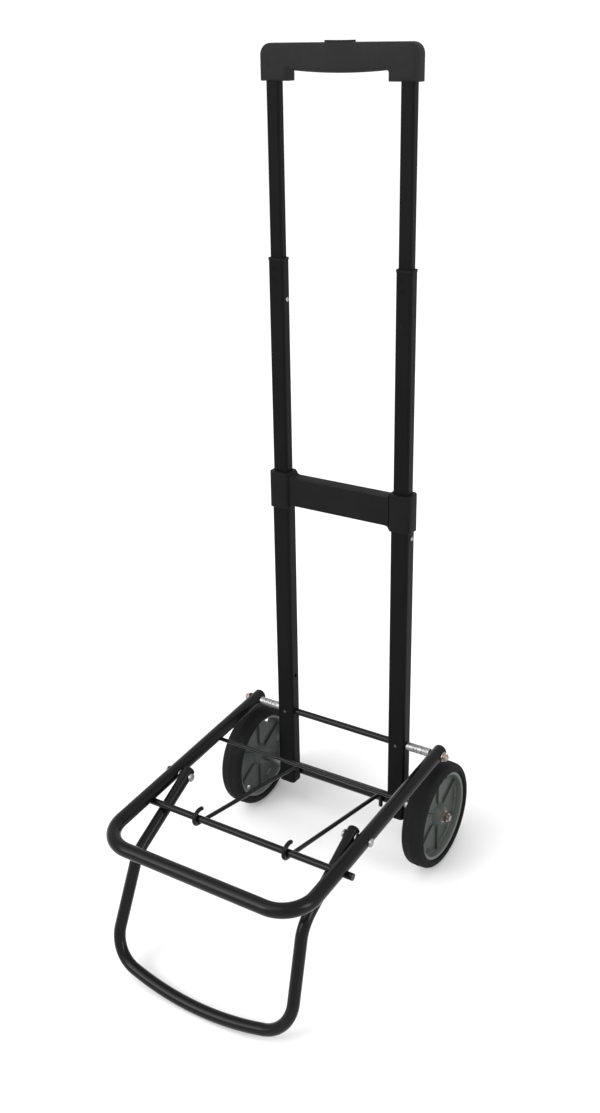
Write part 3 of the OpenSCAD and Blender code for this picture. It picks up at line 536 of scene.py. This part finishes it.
def handleShell(way):  # way is -1 for the front half and 1 for the back half
    low, high = extent("handle_front_shell")
    depth = -low.y
    bm = bmesh.new()
    face = bm.faces.new([bm.verts.new((x, 0, z)) for x, z in handleOutline(high.x, high.z, low.z)])
    extrude(bm, [face], (0, way * depth, 0))
    bmesh.ops.recalc_face_normals(bm, faces=bm.faces)
    rims = edgesAt(bm, lambda c, e: abs(abs(c.y) - depth) < nearly)
    bevel(bm, rims, handleShape["edgeR"], handleShape["edgeSegments"], clamp=False)
    parting = [f for f in bm.faces if all(abs(v.co.y) < nearly for v in f.verts)]
    bmesh.ops.delete(bm, geom=parting, context="FACES")
    splitFaces(bm)
    bmesh.ops.recalc_face_normals(bm, faces=bm.faces)
    outward = [f for f in bm.faces if f.calc_center_median().y * way > depth - 10 * nearly]
    if outward[0].normal.y * way < 0:
        bmesh.ops.reverse_faces(bm, faces=bm.faces)
    return bm


def keepModifiers(piece):  # the modifiers' result becomes the piece's mesh
    shown = piece.evaluated_get(bpy.context.evaluated_depsgraph_get())
    mesh = bpy.data.meshes.new_from_object(shown)
    piece.modifiers.clear()
    old = piece.data
    piece.data = mesh
    bpy.data.meshes.remove(old)


def cutPiece(piece, bm):  # takes the bmesh's shape out of the piece for good
    bmesh.ops.recalc_face_normals(bm, faces=bm.faces)
    cutter = newObject("cutter", bm, uprightFrame)
    tool = piece.modifiers.new("cut", "BOOLEAN")
    tool.object, tool.operation, tool.solver = cutter, "DIFFERENCE", "EXACT"
    keepModifiers(piece)
    bpy.data.objects.remove(cutter)


def dimpleBall(x, front, height):  # a ball that just dents the front face
    bm = bmesh.new()
    radius = handleShape["dimpleR"]
    spot = (x, front + handleShape["dimpleDeep"] - radius, height)
    bmesh.ops.create_uvsphere(bm, u_segments=96, v_segments=48, radius=radius, matrix=Matrix.Translation(spot))
    return bm


buttonLow, buttonHigh = extent("release_button")
buttonWide, buttonDeep = buttonHigh.x - buttonLow.x, buttonHigh.y - buttonLow.y
handleLow = extent("handle_front_shell")[0]
slotGap, tubeGap = 2 * handleShape["slotGap"], 2 * handleShape["tubeGap"]
for name, way in (("front", -1), ("back", 1)):
    shell = newObject(name + "HandleShell", handleShell(way), uprightFrame)
    # the handle shell takes the lighter, painted-light copy of the moulded plastic
    shell.data.materials.append(paintedLitPlastic)
    wall = shell.modifiers.new("wall", "SOLIDIFY")
    wall.thickness, wall.offset = handleShape["wall"], -1
    keepModifiers(shell)
    cutPiece(shell, roundEnded(buttonWide + slotGap, buttonDeep + slotGap, 0,
                               buttonLow.z - handleShape["slotUnder"], buttonHigh.z + cutPast))
    for side in ("left", "right"):
        tubeLow, tubeHigh = extent(side + "_upper_tube")
        tubeX = (tubeLow.x + tubeHigh.x) / 2
        tubeWide, tubeDeep = tubeHigh.x - tubeLow.x + tubeGap, tubeHigh.y - tubeLow.y + tubeGap
        cutPiece(shell, roundEnded(tubeWide, tubeDeep, tubeX, handleLow.z - cutPast,
                                   handleLow.z + handleShape["tubeHole"]))
        if name == "front":
            cutPiece(shell, dimpleBall(tubeX, handleLow.y, handleLow.z + handleShape["dimpleUp"]))
    smooth(shell, handleShape["sharp"])
    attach(shell, "upper_stage")
    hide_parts("handle_%s_shell" % name)

buttonShape = {"dish": 0.3 * mm, "edgeR": 1.2 * mm, "cuts": 14, "sunk": 1.2 * mm, "dishReach": 2 * mm}


def buttonMesh():  # push button with a shallow finger dish along its top
    shape = buttonShape
    top = buttonHigh.z - shape["sunk"]
    bm = roundEnded(buttonWide, buttonDeep, 0, buttonLow.z, top)
    for i in range(1, shape["cuts"]):
        cutAcross(bm, -buttonWide / 2 + buttonWide * i / shape["cuts"])
    bevel(bm, edgesAt(bm, lambda c, e: c.z > top - 10 * nearly and isCorner(e)), shape["edgeR"], 3)
    for v in bm.verts:
        if v.co.z > top - shape["dishReach"]:
            v.co.z -= shape["dish"] * (1 - (2 * v.co.x / buttonWide) ** 2)
    return bm


# the button takes the same lighter, painted-light copy of the moulded plastic
addPiece("pushButton", buttonMesh(), uprightFrame, "release", "black_plastic", "release_button",
         look=paintedLitPlastic)
print("handle done")

bracketShape = {"collarR": 7 * mm, "softR": 1.2 * mm, "barHigh": 39 * mm, "barDeep": 20 * mm, "flare": 5 * mm,
                "lip": 6 * mm, "lipInto": 2.6 * mm, "plateWall": 3 * mm, "tubeFit": 0.1 * mm, "tubeR": 4 * mm,
                "stageFit": 0.3 * mm, "stageR": 3.5 * mm, "barInto": 0.4 * mm, "barSoft": 1.8 * mm,
                "ribHalf": 1.5 * mm, "wallLeast": 1 * mm}


def collar(bm, x, low, high, outer, inner, innerR):  # a rounded ring round one tube
    part = bmesh.new()
    edges = loopOf(part, roundedRect(*outer, bracketShape["collarR"]), low)
    edges += loopOf(part, roundedRect(*inner, innerR), low)
    extrude(part, bmesh.ops.bridge_loops(part, edges=edges)["faces"], (0, 0, high - low))
    bmesh.ops.recalc_face_normals(part, faces=part.faces)

    def outerRing(c, e):
        level = abs(c.z - low) < nearly or abs(c.z - high) < nearly
        flat = abs(e.verts[0].co.z - e.verts[1].co.z) < nearly
        least = bracketShape["wallLeast"]
        far = abs(c.x) > inner[0] / 2 + least or abs(c.y) > inner[1] / 2 + least
        return level and flat and far and e.calc_face_angle(0) > cornerAngle
    bevel(part, edgesAt(part, outerRing), bracketShape["softR"], 3)
    merge(bm, part, Matrix.Translation((x, 0, 0)))


def barMesh(inside, middle):  # the bar between the collars, flared at its ends and hollow at the back
    shape = bracketShape
    flare, half, deep = shape["flare"], shape["barHigh"] / 2, shape["barDeep"] / 2
    curve = arc(inside - flare, half + flare, flare, 0, -90, 5)
    edge = curve + [(-p, z) for p, z in reversed(curve)]
    points = [(p, middle + z) for p, z in edge] + [(p, middle - z) for p, z in reversed(edge)]
    bar = bmesh.new()
    face = bar.faces.new([bar.verts.new((p, -deep, z)) for p, z in points])
    extrude(bar, [face], (0, 2 * deep, 0))
    rib = shape["ribHalf"]
    cutAcross(bar, -rib)
    cutAcross(bar, rib)
    for way in (-1, 1):  # a pocket on each side of the middle rib
        plate = [f for f in bar.faces if all(abs(v.co.y - deep) < nearly for v in f.verts)
                 and f.calc_center_median().x * way > 3 * rib]
        bmesh.ops.inset_region(bar, faces=plate, thickness=shape["plateWall"], depth=0)
        extrude(bar, plate, (0, shape["plateWall"] - 2 * deep, 0))
        bmesh.ops.delete(bar, geom=[f for f in plate if f.is_valid], context="FACES_ONLY")
    bmesh.ops.recalc_face_normals(bar, faces=bar.faces)
    bevel(bar, edgesAt(bar, lambda c, e: abs(c.y + deep) < nearly and isCorner(e)), shape["barSoft"], 3)
    splitFaces(bar)
    return bar


def bracketMesh():
    shape = bracketShape
    low, high = extent("stage_bracket")
    tubeLow, tubeHigh = extent("right_lower_upright")
    stageLow, stageHigh = extent("right_middle_tube")
    x = (tubeLow.x + tubeHigh.x) / 2
    outer = (2 * (high.x - x), high.y - low.y)
    tube = (tubeHigh.x - tubeLow.x + shape["tubeFit"], tubeHigh.y - tubeLow.y + shape["tubeFit"])
    stage = (stageHigh.x - stageLow.x + shape["stageFit"], stageHigh.y - stageLow.y + shape["stageFit"])
    lipLow = high.z - shape["lip"] / 2
    bm = bmesh.new()
    for way in (-1, 1):
        collar(bm, way * x, low.z, lipLow, outer, tube, shape["tubeR"])
        collar(bm, way * x, lipLow - shape["lipInto"], high.z, outer, stage, shape["stageR"])
    merge(bm, barMesh(x - outer[0] / 2 + shape["barInto"], (low.z + high.z) / 2))
    return bm


addPiece("stageBracket", bracketMesh(), uprightFrame, "lower_frame", "black_plastic", "stage_bracket")
print("bracket done")

studio = {"floorSize": 60, "floorColour": shade(0.86), "floorRough": 0.9, "floorGloss": 0.1,
          "sky": 0.95, "skyColour": shade(1), "sunSpread": 50}
bm = bmesh.new()
bmesh.ops.create_grid(bm, x_segments=1, y_segments=1, size=studio["floorSize"])
floor = newObject("floor", bm, Matrix.Identity(4))
paper = Finish("paper").finish(Base_Color=studio["floorColour"], Roughness=studio["floorRough"],
                               Specular_IOR_Level=studio["floorGloss"])
floor.data.materials.append(paper)

world = bpy.data.worlds.new("studio")
scene.world = world
world.use_nodes = True
sky = world.node_tree.nodes["Background"].inputs
sky["Color"].default_value = studio["skyColour"]
sky["Strength"].default_value = studio["sky"]

# each lamp: name, kind, place, aim, energy, size
lamps = (("skySoft", "SUN", (-1.5, -2.0, 4.0), (0, 0, 0), 1.1, None),
         ("keySoft", "AREA", (-1.3, -2.2, 1.9), (0, 0, 0.5), 30, (1.2, 1.6)),
         ("sideSoft", "AREA", (2.4, -0.2, 1.5), (0, 0, 0.5), 28, (0.8, 1.8)))


def addLight(name, kind, place, aim, energy, size):
    data = bpy.data.lights.new(name, kind)
    data.energy = energy
    if size:
        data.shape, data.size, data.size_y = "RECTANGLE", *size
    else:
        data.angle = math.radians(studio["sunSpread"])
    lamp = bpy.data.objects.new(name, data)
    lamp.location = place
    lamp.rotation_mode = "QUATERNION"
    lamp.rotation_quaternion = (Vector(aim) - Vector(place)).to_track_quat("-Z", "Y")
    scene.collection.objects.link(lamp)


for lamp in lamps:
    addLight(*lamp)

cameraSet = {"place": (0.7949, -1.0195, 1.3032), "forward": (-0.50349, 0.69048, -0.51936),
             "up": (-0.19925, 0.49211, 0.84742), "lens": 40.18, "sensor": 36, "near": 0.05, "far": 200}
cameraData = bpy.data.cameras.new("camera")
camera = bpy.data.objects.new("camera", cameraData)
scene.collection.objects.link(camera)
cameraData.lens, cameraData.sensor_width = cameraSet["lens"], cameraSet["sensor"]
cameraData.clip_start, cameraData.clip_end = cameraSet["near"], cameraSet["far"]
back = -Vector(cameraSet["forward"]).normalized()
right = Vector(cameraSet["up"]).cross(back).normalized()
camera.matrix_world = frameFrom(cameraSet["place"], right, back)
scene.camera = camera
scene.view_settings.view_transform = "Standard"
print("stage set")
